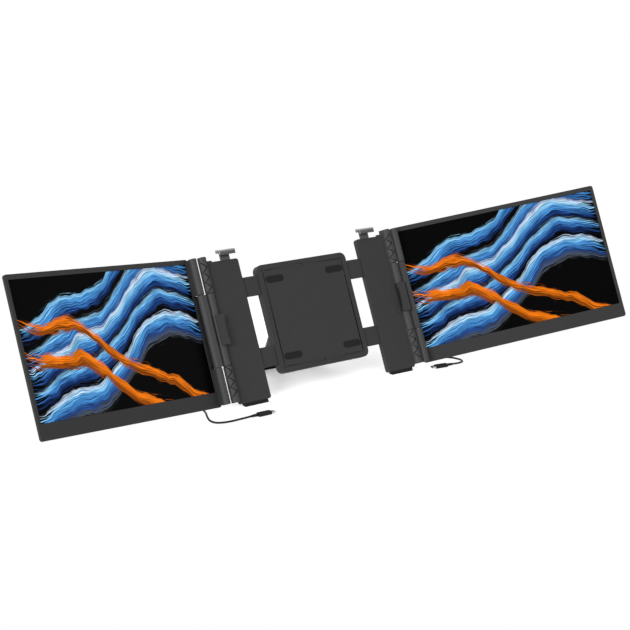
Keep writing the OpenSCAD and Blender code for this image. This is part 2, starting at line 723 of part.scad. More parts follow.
module side_clip(s) color(DARK) side(s) {
    z0 = clip_z - clip_h / 2;
    z1 = clip_z + clip_h / 2;
    block([peg_x0 - 1, pad_front, z0], [clip_x1, -frame_front, z1]);
    block([peg_x0, -frame_front - eps, clip_z - peg_h / 2],
        [peg_x0 + peg_w, -frame_front + peg_t, clip_z + peg_h / 2]);
    block([clip_x0, clip_head_y, z0], [clip_x1, pad_front, z1]);
    // Head: a wing outside the wall, and two ears that reach over the lid
    upright(clip_x0, clip_x1 + clip_wing, z0, z1, clip_head_y - clip_head_t, clip_head_y, 1.5);
    for (z = [z0, z1 - clip_ear])
        upright(clip_x0 - clip_lip, clip_x1 + 1, z, z + clip_ear, clip_head_y - clip_head_t,
            clip_head_y, 1.5);
}

// Strip on the inner face of the clip's wall, where the lid's edge rests
module clip_lining(s) color(SOFT) side(s)
    block([clip_x0 - clip_pad_t, clip_head_y, clip_z - clip_h / 2 + 1],
        [clip_x0, pad_front, clip_z + clip_h / 2 - 1]);

module top_hook(s) color(GREY) side(s) {
    back = stem_y + stem_t;
    depth = back - lip_front;
    rise = hook_head_t + 2;
    // Front and top follow a quarter of an ellipse from the lip to the back edge
    crown = [for (a = [0 : 9 : 90])
        [back - 1 - (depth - 1) * cos(a), stem_top - 1 + (rise + 1) * sin(a)]];
    head = concat([[back, stem_top], [lip_back, stem_top], [lip_back, lid_top - hook_lip],
        [lip_front + 0.5, lid_top - hook_lip], [lip_front, lid_top - hook_lip + 0.6]],
        crown, [[back, stem_top + rise - 1]]);
    block([stem_x0, stem_y, stem_top - stem_l], [stem_x0 + stem_w, back, stem_top + eps]);
    intersection() {
        translate([hook_x - hook_w / 2, 0, 0]) rotate([90, 0, 90]) linear_extrude(hook_w) polygon(head);
        // Rounded ends, seen from above
        translate([0, 0, lid_top - hook_lip - cut]) linear_extrude(hook_lip + rise + 4)
            rounded(hook_x - hook_w / 2, hook_x + hook_w / 2, lip_front, back, 4);
    }
}

module hook_pad(s) color(SOFT) side(s)
    block([hook_x - hook_w / 2 + 3, lip_back + 0.2, lid_top],
        [hook_x + hook_w / 2 - 3, -frame_front, stem_top]);

// ---- centre housing ----

module back_housing() color(DARK) leaned() difference() {
    union() {
        upright(-housing_half, housing_half, housing_z, housing_z + housing_h,
            front_in, rear_y0, housing_r);
        for (x = [-kick_side - ear_w, kick_side])
            translate([0, kick_y, kick_z]) bar_x(x, x + ear_w, ear_r);
    }
    for (z = [tongue_low, tongue_high])
        block([-housing_half - cut, front_in - cut, z - tongue_h / 2 - slide_play],
            [housing_half + cut, channel_floor, z + tongue_h / 2 + slide_play]);
    for (x = [-stop_x, stop_x], z = [tongue_low, tongue_high])
        translate([x, front_in - cut, z]) rotate([-90, 0, 0]) cylinder(r = stop_r, h = cut + stop_h);
    for (x = screw_x, z = screw_z)
        translate([x, front_in - cut, z]) rotate([-90, 0, 0]) cylinder(r = screw_r, h = cut + screw_l);
    // Ribbed hollows between the two channels
    cell = 2 * (housing_half - hollow_edge) / hollows;
    for (i = [0 : hollows - 1])
        block([-housing_half + hollow_edge + i * cell + rib_t / 2, front_in - cut,
            tongue_low + tongue_h / 2 + hollow_rim],
            [-housing_half + hollow_edge + (i + 1) * cell - rib_t / 2, kick_rest - 2.2,
            tongue_high - tongue_h / 2 - hollow_rim]);
    // Recess of the kickstand, and the trough of its barrel
    block([-kick_side, kick_rest - 0.4, housing_z - cut], [kick_side, rear_y0 + cut, kick_z]);
    translate([0, kick_y, kick_z]) bar_x(-kick_side, kick_side, kick_barrel_r + 0.4);
    translate([0, kick_y, kick_z]) bar_x(-kick_side - ear_w - cut, kick_side + ear_w + cut, kick_pin_r);
    // Finger notch at the kickstand's lower end
    block([-notch_w / 2, kick_rest - notch_d, housing_z - cut],
        [notch_w / 2, rear_y0 + cut, housing_z + notch_h]);
}

module front_cover() color(DARK) leaned() difference() {
    upright(-housing_half, housing_half, housing_z, housing_z + housing_h,
        -frame_front, front_in, housing_r);
    for (x = screw_x, z = screw_z) translate([x, 0, z]) rotate([90, 0, 0]) {
        translate([0, 0, -5]) cylinder(r = screw_r, h = screw_drill);
        translate([0, 0, frame_front - screw_head_t - 0.2])
            cylinder(r = screw_head_r + 0.1, h = screw_drill);
    }
}

module cover_screws() color(STEEL) leaned() for (x = screw_x, z = screw_z)
    translate([x, -frame_front + 0.2, z]) rotate([-90, 0, 0]) difference() {
        union() {
            cylinder(r = screw_head_r, h = screw_head_t);
            cylinder(r = screw_r, h = screw_l + cover_t - 0.4);
        }
        translate([0, 0, -cut]) cylinder(r = 1.1, h = cut + 0.7, $fn = 6);
    }

// Rubber pads the lid rests against
module front_pads() color(SOFT) leaned()
    for (x = [-1, 1] * pad_x, z = [housing_z + pad_inset, housing_z + housing_h - pad_inset])
        upright(x - pad_w / 2, x + pad_w / 2, z - pad_h / 2, z + pad_h / 2, pad_front, -frame_front,
            pad_h / 2 - eps);

// Pegs that end the travel of the arms
module travel_stops() color(STEEL) leaned() for (x = [-stop_x, stop_x], z = [tongue_low, tongue_high])
    translate([x, front_in + 0.05, z]) rotate([-90, 0, 0]) cylinder(r = stop_r, h = stop_h - 0.05);

// ---- kickstand ----

// Kickstand coordinates: folded, with the pivot at the origin
module on_kick() {
    leaned() translate([0, kick_y, kick_z]) rotate([kick_angle, 0, 0]) children();
}

module kickstand() color(GREY) on_kick() difference() {
    union() {
        bar_x(-kick_w / 2, kick_w / 2, kick_barrel_r);
        upright(-kick_w / 2, kick_w / 2, -kick_l + 2, 0, -kick_t + 0.5, 0.5, 6);
        block([-kick_w / 2, -kick_t + 0.5, -12], [kick_w / 2, 0.5, 0]);
    }
    bar_x(-kick_w, kick_w, kick_pin_r + kick_play);
    // Window between the stand's rails
    upright(-kick_w / 2 + kick_rail, kick_w / 2 - kick_rail, -kick_l + 1.4 * kick_rail, -kick_rail,
        -kick_t, kick_t, kick_rail / 2);
    // Seat of the rubber foot
    translate([0, kick_mid, -kick_l]) bar_x(-kick_w, kick_w, kick_foot_r);
}

module kick_foot() color(SOFT) on_kick() translate([0, kick_mid, -kick_l])
    bar_x(-kick_w / 2 + 4, kick_w / 2 - 4, kick_foot_r);

module kick_pin() color(STEEL) leaned() translate([0, kick_y, kick_z])
    bar_x(-kick_side - ear_w, kick_side + ear_w, kick_pin_r);

// ---- derived and fixed values ----

tip_size = [6.5, 2.4, 8.3];
grip_size = [22, 5.6, 10.4];
relief_l = 11;
lead_start_x = bulge_x - 0.2 - grip_size[0] - relief_l;
stop_h = channel_floor - front_in + 1.5;
screw_x = [-housing_half + screw_inset, 0, housing_half - screw_inset];
screw_z = [housing_z + screw_inset, housing_z + housing_h - screw_inset];
screw_r = 1.3;
screw_l = 5;
screw_head_r = 2.6;
screw_head_t = 1.2;
hollows = 4;
hollow_edge = 10;
hollow_rim = 4;
notch_w = 36;
notch_h = 14;
notch_d = 1.4;
kick_rail = 16;
pad_side = 28;
pad_x = housing_half - pad_side;
pad_w = 32;
pad_h = 10;
pad_inset = 24;
peg_x0 = arm_out - 7.4;
peg_w = 4;
peg_t = 3;
peg_h = 30;
foot_x0 = 118;
foot_w = 42;
foot_y0 = 0.5 - frame_front;
foot_y1 = arm_back - 0.5;
lip_back = pad_front - lid_gap;
lip_front = lip_back - hook_lip_t;
hook_down = 8;

// Resting places of the laptop ends, above the desk, and their headings
function plug_at(s) = s < 0 ? [-145, -47, grip_size[1] / 2] : [197, -14.5, grip_size[1] / 2];
function plug_turn(s) = s < 0 ? 0 : 173;

// Routes of the leads between the screen plug and the laptop plug
route_left = [
    [-237, 14, 20],
    [-228, 17, 11],
    [-223, 14, 3],
    [-225, 3, 1.5],
    [-231, -10, 1.5],
    [-237, -26, 1.5],
    [-236, -37, 1.5],
    [-229, -43, 1.5],
    [-214, -46, 1.5],
    [-194, -47, 2.2]
];
route_right = [
    [238, 9, 22],
    [235, 13, 13],
    [239, 17, 5],
    [247, 16, 1.5],
    [254, 8, 1.5],
    [258, -5, 1.5],
    [255, -14, 1.5],
    [245, -18, 2]
];

back_housing();
front_cover();
front_pads();
cover_screws();
travel_stops();
kick_pin();
kickstand();
kick_foot();
arm_panel(-1);  // arm_panel_left
arm_panel(1);  // arm_panel_right
arm_foot(-1);  // arm_foot_left
arm_foot(1);  // arm_foot_right
side_clip(-1);  // side_clip_left
side_clip(1);  // side_clip_right
clip_lining(-1);  // clip_lining_left
clip_lining(1);  // clip_lining_right
inner_knuckles(-1);  // inner_knuckles_left
inner_knuckles(1);  // inner_knuckles_right
inner_shafts(-1);  // inner_shafts_left
inner_shafts(1);  // inner_shafts_right
link(-1);  // link_left
link(1);  // link_right
friction_sleeves(-1);  // friction_sleeves_left
friction_sleeves(1);  // friction_sleeves_right
outer_shafts(-1);  // outer_shafts_left
outer_shafts(1);  // outer_shafts_right
outer_knuckles(-1);  // outer_knuckles_left
outer_knuckles(1);  // outer_knuckles_right
front_bezel(-1);  // front_bezel_left
front_bezel(1);  // front_bezel_right
screen_glass(-1);  // screen_glass_left
screen_glass(1);  // screen_glass_right
backlight(-1);  // backlight_left
backlight(1);  // backlight_right
rear_cover(-1);  // rear_cover_left
rear_cover(1);  // rear_cover_right
driver_board(-1);  // driver_board_left
driver_board(1);  // driver_board_right
charge_sockets(-1);  // charge_sockets_left
charge_sockets(1);  // charge_sockets_right
power_key(-1);  // power_key_left
power_key(1);  // power_key_right
menu_key(-1);  // menu_key_left
menu_key(1);  // menu_key_right
screen_plug(-1);  // screen_plug_left
screen_plug(1);  // screen_plug_right
lead(-1);  // lead_left
lead(1);  // lead_right
laptop_plug(-1);  // laptop_plug_left
laptop_plug(1);  // laptop_plug_right
top_hook(-1);  // top_hook_left
top_hook(1);  // top_hook_right
hook_pad(-1);  // hook_pad_left
hook_pad(1);  // hook_pad_right
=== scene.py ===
"""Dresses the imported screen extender: leads, lit pictures, plastics, hinge paint and a plain studio."""

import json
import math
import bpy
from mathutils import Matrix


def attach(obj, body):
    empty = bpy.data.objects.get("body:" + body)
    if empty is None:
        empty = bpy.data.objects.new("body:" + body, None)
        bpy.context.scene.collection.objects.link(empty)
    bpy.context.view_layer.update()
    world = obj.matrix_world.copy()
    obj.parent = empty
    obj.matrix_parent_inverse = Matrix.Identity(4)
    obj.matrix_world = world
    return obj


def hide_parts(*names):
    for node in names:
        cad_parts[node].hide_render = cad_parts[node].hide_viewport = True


bl_info = {
    "name": "Screen extender dressing",
    "version": (1, 0, 0),
    "blender": (4, 5, 0),
    "location": "View3D > Sidebar > Extender",
    "description": "Gives the packed screen extender its leads, pictures, finishes and stage",
    "category": "Object",
}

import bmesh
import bpy
from bpy.props import FloatProperty, FloatVectorProperty, PointerProperty
from bpy.types import Operator, Panel, PropertyGroup
from mathutils import Matrix, Vector

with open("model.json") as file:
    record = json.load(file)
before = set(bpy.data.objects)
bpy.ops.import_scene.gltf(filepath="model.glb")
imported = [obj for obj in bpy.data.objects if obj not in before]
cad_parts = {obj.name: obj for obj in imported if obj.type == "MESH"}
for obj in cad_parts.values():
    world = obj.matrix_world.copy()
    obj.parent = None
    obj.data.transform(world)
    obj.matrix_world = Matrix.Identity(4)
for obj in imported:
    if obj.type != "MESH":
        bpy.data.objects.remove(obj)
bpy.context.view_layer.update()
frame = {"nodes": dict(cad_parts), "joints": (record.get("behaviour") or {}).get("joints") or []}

MM = 0.001
SIDES = ("left", "right")
SIGN = {"left": -1, "right": 1}

# Stance and driving sizes, as in the part's source
LEAN = math.radians(26.3)
SWING = {"left": math.radians(17.4), "right": math.radians(21.6)}
COLUMN_HALF = 110.3 * MM
PICTURE_X = 7.0 * MM
PICTURE_Z = 21.4 * MM
PICTURE_W = 344.2 * MM
PICTURE_H = 193.6 * MM
SOCKET_Y = 18.25 * MM
SOCKET_Z = 18 * MM
LEAD_START_X = 46.8 * MM
PLUG_FACE_X = 79.8 * MM
GRIP = (22 * MM, 5.6 * MM, 10.4 * MM)
RELIEF = 11 * MM
KNUCKLE_R = 6.6 * MM
ENGRAVED = 0.8 * MM

# Painted shade in the engraving: how deep it fades, in shares of the groove, and where the grooves end
GROOVE_FADE = (0.5, 0.15)
ENGRAVED_FRONT = -2.6 * MM
PLAIN_END = 2 * MM
# Painted shade on the other paint, and painted highlight on the hook plastic: its place, where it starts,
# where it is full, its strength
CORNER_DEPTH = (-2.5 * MM, 9 * MM)
CORNER_WALL = (2.5 * MM, 5 * MM)
CORNER_SHADE = 0.92
VALLEY_X = 7.3 * MM
VALLEY_EDGE = (2.4 * MM, 1.2 * MM)
VALLEY_SHADE = 0.5
HIGHLIGHT_DEPTH = 5.5 * MM
SHADOW = (0.006, 0.006, 0.006, 1)

# Surface detail that all plastics, paints and metals share
MOTTLE_SCALE = 55
GLOSS_PLAY = 0.025
GRAIN_DEPTH = 0.2 * MM
# The span in which a noise texture's values mostly lie
NOISE_SPAN = (0.3, 0.7)

# Meshes: the angle that stays sharp in shading, the angle that gets a bevel, and the weld before it
SMOOTH_ANGLE = math.radians(35)
EDGE_ANGLE = math.radians(40)
WELD = 0.002 * MM


# ---- places ----

def joint(name):
    """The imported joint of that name."""
    return next(j for j in frame["joints"] if j["name"] == name)


def monitor_matrix(side):
    """Turns monitor coordinates (X to the user's right, Z up the column) into the row frame."""
    turn = Matrix.Rotation(-LEAN, 4, "X") @ Matrix.Rotation(-SIGN[side] * SWING[side], 4, "Z")
    middle = Vector(joint("outer_hinge_" + side)["pos_m"])
    up = Matrix.Rotation(-LEAN, 4, "X") @ Vector((0, 0, 1))
    return Matrix.Translation(middle - up * COLUMN_HALF) @ turn


def monitor_point(side, outwards, back, up):
    """A point given outwards from the outer hinge axis, in the row frame."""
    return monitor_matrix(side) @ Vector((SIGN[side] * outwards, back, up))


# ---- meshes ----

def add_piece(name, bm, body, material):
    """Turns a bmesh that is already in place into a finished piece that rides on a body."""
    bmesh.ops.recalc_face_normals(bm, faces=bm.faces)
    mesh = bpy.data.meshes.new(name)
    bm.to_mesh(mesh)
    bm.free()
    piece = bpy.data.objects.new(name, mesh)
    bpy.context.scene.collection.objects.link(piece)
    mesh.materials.append(material)
    mesh.shade_smooth()
    mesh.set_sharp_from_angle(angle=SMOOTH_ANGLE)
    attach(piece, body)
    return piece


def stadium(width, height, corner_steps=8):
    """Points round a stadium section, in its own two directions."""
    points = []
    straight = (height - width) / 2
    for end in (1, -1):
        for step in range(corner_steps + 1):
            angle = math.pi * step / corner_steps
            points.append((end * math.cos(angle) * width / 2,
                           end * (straight + math.sin(angle) * width / 2)))
    return points


def loft(bm, sections):
    """Skins a row of closed point rings and caps both ends."""
    rings = [[bm.verts.new(p) for p in ring] for ring in sections]
    for first, second in zip(rings, rings[1:]):
        count = len(first)
        for i in range(count):
            bm.faces.new((first[i], first[(i + 1) % count], second[(i + 1) % count], second[i]))
    bm.faces.new(rings[0])
    bm.faces.new(rings[-1])


# ---- shaders ----

def linear(hex_colour):
    """A colour as it looks on screen, turned into the shader's linear values."""
    channels = [int(hex_colour[i:i + 2], 16) / 255 for i in (0, 2, 4)]
    return tuple(c / 12.92 if c <= 0.04045 else ((c + 0.055) / 1.055) ** 2.4 for c in channels) + (1,)


class Nodes:
    """A short way to write node trees."""

    def __init__(self, tree):
        self.tree = tree

    def add(self, kind, values=(), **settings):
        node = self.tree.nodes.new(kind)
        for key, value in settings.items():
            setattr(node, key, value)
        for key, value in dict(values).items():
            if isinstance(value, bpy.types.NodeSocket):
                self.tree.links.new(value, node.inputs[key])
            else:
                node.inputs[key].default_value = value
        return node

    def link(self, source, target):
        self.tree.links.new(source, target)

    def maths(self, operation, a, b=0.0):
        return self.add("ShaderNodeMath", {0: a, 1: b}, operation=operation).outputs[0]

    def mix(self, factor, a, b, blend="MIX"):
        node = self.add("ShaderNodeMix", {0: factor, 6: a, 7: b}, data_type="RGBA", blend_type=blend)
        return node.outputs[2]

    def ramp(self, factor, stops):
        node = self.add("ShaderNodeValToRGB", {0: factor})
        ramp = node.color_ramp
        while len(ramp.elements) < len(stops):
            ramp.elements.new(0.5)
        for element, (place, colour) in zip(ramp.elements, stops):
            element.position = place
            element.color = colour
        return node.outputs[0]


def shaded(colour, share):
    """A colour with its light scaled by a share."""
    return tuple(min(1, c * share) for c in colour[:3]) + (1,)


def writer(material):
    """The node writer and the Principled shader of a material."""
    return Nodes(material.node_tree), material.node_tree.nodes["Principled BSDF"]


def shader(name):
    """A new material with its node writer and its Principled shader."""
    material = bpy.data.materials.new(name)
    material.use_nodes = True
    return material, *writer(material)


def ramped(nodes, value, start, end, low=0.0, high=1.0):
    """Runs from low to high while the value goes from start to end."""
    return nodes.add("ShaderNodeMapRange", {
        "Value": value, "From Min": start, "From Max": end, "To Min": low, "To Max": high}).outputs[0]


def product(nodes, value, *factors):
    """The value times all the factors."""
    for factor in factors:
        value = nodes.maths("MULTIPLY", value, factor)
    return value


def grained(name, colour, roughness, grain=0.35, relief=0.05, mottle=0.1, metallic=0.0, stretch=None,
            specular=0.12):
    """A surface with a fine grain of that size in millimetres, faint mottling and uneven gloss."""
    material, nodes, surface = shader(name)
    surface.inputs["Specular IOR Level"].default_value = specular
    surface.inputs["Metallic"].default_value = metallic
    place = nodes.add("ShaderNodeTexCoord").outputs["Object"]
    if stretch:
        place = nodes.add("ShaderNodeMapping", {"Vector": place, "Scale": stretch}).outputs[0]
    fine = nodes.add("ShaderNodeTexNoise", {"Vector": place, "Scale": 1000 / grain, "Detail": 3})
    broad = nodes.add("ShaderNodeTexNoise", {"Vector": place, "Scale": MOTTLE_SCALE, "Detail": 4})
    light = shaded(colour, 1 + mottle)
    tone = nodes.mix(broad.outputs["Fac"], shaded(colour, 1 - mottle), light)
    speck = nodes.maths("MULTIPLY", fine.outputs["Fac"], mottle)
    nodes.link(nodes.mix(speck, tone, light), surface.inputs["Base Color"])
    gloss = ramped(nodes, broad.outputs["Fac"], *NOISE_SPAN, roughness - GLOSS_PLAY, roughness + GLOSS_PLAY)
    nodes.link(gloss, surface.inputs["Roughness"])
    bump = nodes.add("ShaderNodeBump", {
        "Height": fine.outputs["Fac"], "Strength": relief, "Distance": GRAIN_DEPTH})
    nodes.link(bump.outputs[0], surface.inputs["Normal"])
    return material


def paint_light_or_shade(nodes, surface, share, colour=SHADOW):
    """Paints light or shade into a surface's colour: mixes in a share of another colour, or of shadow."""
    link = surface.inputs["Base Color"].links[0]
    nodes.link(nodes.mix(share, link.from_socket, colour), surface.inputs["Base Color"])


def upright(nodes, place):
    """Socket values of X, Y and Z of a place, along and square to the leaning columns."""
    local = nodes.add("ShaderNodeMapping", {"Vector": place, "Rotation": (LEAN, 0, 0)}).outputs[0]
    return nodes.add("ShaderNodeSeparateXYZ", {0: local}).outputs


def place_about(nodes, joint_name):
    """Socket values of X, Y and Z from a hinge's middle, along and square to its column."""
    middle = Vector(joint(joint_name)["pos_m"])
    place = nodes.add("ShaderNodeTexCoord").outputs["Object"]
    offset = nodes.add("ShaderNodeVectorMath", {0: place, 1: tuple(-middle)}, operation="ADD")
    return upright(nodes, offset.outputs[0])


def shaded_grooves(material, side):
    """Paints shade on the floor of the grooves cut into a knuckle that turns about the inner hinge axis."""
    nodes, surface = writer(material)
    axes = place_about(nodes, "inner_hinge_" + side)
    flat = nodes.add("ShaderNodeCombineXYZ", {0: axes[0], 1: axes[1]}).outputs[0]
    away = nodes.add("ShaderNodeVectorMath", {0: flat}, operation="LENGTH").outputs["Value"]
    floor, rim = (KNUCKLE_R - ENGRAVED * share for share in GROOVE_FADE)
    sunk = ramped(nodes, away, floor, rim, 1.0, 0.0)
    front = nodes.maths("LESS_THAN", axes[1], ENGRAVED_FRONT)
    inside = nodes.maths("LESS_THAN", nodes.maths("ABSOLUTE", axes[2]), COLUMN_HALF - PLAIN_END)
    paint_light_or_shade(nodes, surface, product(nodes, sunk, front, inside))
    return material


def shaded_corner(material, side):
    """Paints shade on the wall of an outer knuckle towards the corner where it meets the bezel."""
    nodes, surface = writer(material)
    axes = place_about(nodes, "outer_hinge_" + side)
    flat = nodes.add("ShaderNodeCombineXYZ", {0: axes[0], 1: axes[1]}).outputs[0]
    turned = nodes.add("ShaderNodeMapping", {
        "Vector": flat, "Rotation": (0, 0, SIGN[side] * SWING[side])}).outputs[0]
    own = nodes.add("ShaderNodeSeparateXYZ", {0: turned}).outputs
    outwards = nodes.maths("MULTIPLY", own[0], SIGN[side])
    deep = ramped(nodes, own[1], *CORNER_DEPTH)
    wall = ramped(nodes, outwards, *CORNER_WALL)
    paint_light_or_shade(nodes, surface, product(nodes, deep, wall, CORNER_SHADE))
    return material


def shaded_valley(material, side):
    """Paints shade in the groove between the two barrels of a link."""
    nodes, surface = writer(material)
    axes = place_about(nodes, "inner_hinge_" + side)
    outwards = nodes.maths("MULTIPLY", axes[0], SIGN[side])
    middle = nodes.maths("ABSOLUTE", nodes.maths("SUBTRACT", outwards, VALLEY_X))
    groove = ramped(nodes, middle, *VALLEY_EDGE)
    front = nodes.maths("LESS_THAN", axes[1], 0.0)
    paint_light_or_shade(nodes, surface, product(nodes, groove, front, VALLEY_SHADE))
    return material


def painted_top_highlight(material, top, colour):
    """Paints a highlight over the uppermost part of a surface, square to the column, by fading it to a
    paler colour.
    """
    nodes, surface = writer(material)
    place = nodes.add("ShaderNodeTexCoord").outputs["Object"]
    height = upright(nodes, place)[2]
    paint_light_or_shade(nodes, surface, ramped(nodes, height, top - HIGHLIGHT_DEPTH, top), colour)
    return material


def dress(material, *nodes):
    """Gives CAD nodes their material."""
    for name in nodes:
        mesh = frame["nodes"][name].data
        mesh.materials.clear()
        mesh.materials.append(material)


def both(*names):
    """Left and right node of each name."""
    return [f"{name}_{side}" for name in names for side in SIDES]


def soften(width, *names):
    """Rounds the moulded edges of CAD nodes."""
    for name in names:
        piece = frame["nodes"][name]
        weld = piece.modifiers.new("weld", "WELD")
        weld.merge_threshold = WELD
        bevel = piece.modifiers.new("edges", "BEVEL")
        bevel.width = width
        bevel.segments = 2
        bevel.limit_method = "ANGLE"
        bevel.angle_limit = EDGE_ANGLE
        bevel.use_clamp_overlap = True
        bevel.harden_normals = True


# ---- settings ----

def colour_setting(name, description, hex_colour):
    """A colour for the panel, given as it looks on screen."""
    return FloatVectorProperty(name=name, description=description, default=linear(hex_colour)[:3],
                               size=3, subtype="COLOR", min=0, max=1)


class LeadSettings(PropertyGroup):
    thickness: FloatProperty(name="Lead diameter", description="Diameter of the two leads",
                             default=0.003, min=0.0026, max=0.0034, unit="LENGTH")
    colour: colour_setting("Lead colour", "Colour of leads and plugs", "1d1d1e")


class PictureSettings(PropertyGroup):
    brightness: FloatProperty(name="Brightness", description="Light of the lit pictures",
                              default=1.0, min=0, max=3)
    deep: colour_setting("Deep colour", "Darker of the main colours", "1d4488")
    bright: colour_setting("Bright colour", "Lighter of the main colours", "4f9be0")
    warm: colour_setting("Warm colour", "Colour of the warm ribbons", "fb7f12")
    sky: colour_setting("Sky colour", "Colour of the light folds", "93d2f5")
    pale: colour_setting("Pale colour", "Colour of the pale edges", "cfe2fa")


class FinishSettings(PropertyGroup):
    case: colour_setting("Case", "Colour of monitor cases and back frame", "383838")
    hinge: colour_setting("Hinges", "Colour of the hinge columns", "464646")
    clip: colour_setting("Clips", "Colour of the side clips", "3b3b3b")
    hook: colour_setting("Hooks", "Colour of the top hooks", "3c3c3e")
    # Painted highlight: the paler colour over the top of each hook
    hook_highlight: colour_setting("Hook highlight", "Colour of the painted highlight over the top hooks' upper parts", "a0a0a2")
    rubber: colour_setting("Rubber", "Colour of pads and feet", "202021")


class StageSettings(PropertyGroup):
    azimuth: FloatProperty(name="Azimuth", description="Camera's place round the object",
                           default=math.radians(-36.62), subtype="ANGLE", unit="ROTATION")
    elevation: FloatProperty(name="Elevation", description="Camera's height as an angle",
                             default=math.radians(16.69), subtype="ANGLE", unit="ROTATION")
    roll: FloatProperty(name="Roll", description="Camera's tilt to the side",
                        default=math.radians(1.56), subtype="ANGLE", unit="ROTATION")
    lens: FloatProperty(name="Lens", description="Focal length in millimetres",
                        default=92.71, min=10, max=300)
    floor: colour_setting("Floor", "Colour of floor and backdrop", "ffffff")


# ---- camera ----

CAMERA_PLACE = Vector((-1.42064, -1.87874, 0.82017))


class EXTENDER_OT_camera(Operator):
    """Sets the camera at the photograph's viewing angle"""

    bl_idname = "extender.camera"
    bl_label = "Camera"

    def execute(self, context):
        stage = context.scene.extender_stage
        a, e, r = stage.azimuth, stage.elevation, stage.roll
        ahead = Vector((-math.sin(a) * math.cos(e), math.cos(a) * math.cos(e), -math.sin(e)))
        right = Vector((math.cos(a), math.sin(a), 0))
        up = right.cross(ahead)
        across = right * math.cos(r) + up * math.sin(r)
        upwards = up * math.cos(r) - right * math.sin(r)
        lens = bpy.data.cameras.new("camera")
        lens.lens = stage.lens
        lens.sensor_width = 36
        lens.clip_start = 0.05
        lens.clip_end = 50
        camera = bpy.data.objects.new("camera", lens)
        context.scene.collection.objects.link(camera)
        turn = Matrix((across, upwards, -ahead)).transposed()
        camera.matrix_world = Matrix.Translation(CAMERA_PLACE) @ turn.to_4x4()
        context.scene.camera = camera
        return {"FINISHED"}


# ---- leads ----

# Route of each lead above the desk in millimetres, between its two plugs, as in the part's source
ROUTE = {
    "left": [(-237, 14, 20), (-228, 17, 11), (-223, 14, 3), (-225, 3, 1.5), (-231, -10, 1.5),
             (-237, -26, 1.5), (-236, -37, 1.5), (-229, -43, 1.5), (-214, -46, 1.5), (-194, -47, 2.2)],
    "right": [(238, 9, 22), (235, 13, 13), (239, 17, 5), (247, 16, 1.5), (254, 8, 1.5),
              (258, -5, 1.5), (255, -14, 1.5), (245, -18, 2)],
}
# Front face of each laptop plug's grip, and its heading
PLUG_AT = {"left": (-145, -47, 2.8), "right": (197, -14.5, 2.8)}
PLUG_TURN = {"left": 0, "right": math.radians(173)}
# How far beyond each end the line of a lead is drawn straight, to set its direction there
LEAD_EASE = 10 * MM
# Places in the part's source count from the middle between the columns
ROUTE_ORIGIN = Vector((-3.8822, 7.51829, 0))


def on_desk(point):
    """A point above the desk, in the row frame."""
    return (Vector(point) - ROUTE_ORIGIN) * MM


def curve_through(points, steps=5):
    """The smooth line through all but the first and last point."""
    line = []
    for a, b, c, d in zip(points, points[1:], points[2:], points[3:]):
        for step in range(steps):
            t = step / steps
            line.append(0.5 * (2 * b + (c - a) * t + (2 * a - 5 * b + 4 * c - d) * t * t
                               + (3 * b - a - 3 * c + d) * t ** 3))
    return line + [points[-2]]


def lead_line(side):
    """The centre line of a lead from its screen plug to its laptop plug."""
    start = monitor_point(side, LEAD_START_X, SOCKET_Y, SOCKET_Z)
    before = monitor_point(side, LEAD_START_X + LEAD_EASE, SOCKET_Y, SOCKET_Z)
    heading = Vector((math.cos(PLUG_TURN[side]), math.sin(PLUG_TURN[side]), 0))
    end = on_desk(PLUG_AT[side]) - heading * (GRIP[0] + RELIEF)
    after = end + heading * LEAD_EASE
    return curve_through([before, start, *[on_desk(p) for p in ROUTE[side]], end, after])


# Ribs round a strain relief: where they start, their number, span, ring radius, thickness and how
# much they shrink
RIB_START = 1.2 * MM
RIBS = 5
RIB_SPAN = RELIEF * 0.78
RIB_R = 2.1 * MM
RIB_THICK = 0.45 * MM
RIB_SHRINK = 0.22


def relief_ribs():
    """Geometry Nodes tree: a row of rubber rings along +X that shrink towards the lead."""
    tree = bpy.data.node_groups.new("relief ribs", "GeometryNodeTree")
    tree.is_modifier = True
    names = (("Rings", "NodeSocketInt", RIBS), ("Length", "NodeSocketFloat", RIB_SPAN),
             ("Radius", "NodeSocketFloat", RIB_R), ("Width", "NodeSocketFloat", RIB_THICK))
    for name, kind, default in names:
        tree.interface.new_socket(name, in_out="INPUT", socket_type=kind).default_value = default
    tree.interface.new_socket("Material", in_out="INPUT", socket_type="NodeSocketMaterial")
    tree.interface.new_socket("Geometry", in_out="OUTPUT", socket_type="NodeSocketGeometry")
    nodes = Nodes(tree)
    given = nodes.add("NodeGroupInput").outputs
    span = nodes.add("ShaderNodeCombineXYZ", {0: given["Length"]}).outputs[0]
    row = nodes.add("GeometryNodeMeshLine", {"Count": given["Rings"]}, mode="END_POINTS")
    for socket in row.inputs:
        if socket.name == "End Location" or socket.identifier == "Offset":
            nodes.link(span, socket)
    ring, section = (
        nodes.add("GeometryNodeCurvePrimitiveCircle", {"Resolution": corners, "Radius": given[radius]})
        for corners, radius in ((28, "Radius"), (8, "Width")))
    torus = nodes.add("GeometryNodeCurveToMesh", {
        "Curve": ring.outputs[0], "Profile Curve": section.outputs[0]})
    index = nodes.add("GeometryNodeInputIndex").outputs[0]
    share = nodes.maths("DIVIDE", index, given["Rings"])
    size = nodes.maths("SUBTRACT", 1.0, nodes.maths("MULTIPLY", share, RIB_SHRINK))
    placed = nodes.add("GeometryNodeInstanceOnPoints", {
        "Points": row.outputs[0], "Instance": torus.outputs[0],
        "Rotation": (0, math.pi / 2, 0), "Scale": size})
    real = nodes.add("GeometryNodeRealizeInstances", {0: placed.outputs[0]})
    painted = nodes.add("GeometryNodeSetMaterial", {
        "Geometry": real.outputs[0], "Material": given["Material"]})
    nodes.link(painted.outputs[0], nodes.add("NodeGroupOutput").inputs[0])
    return tree


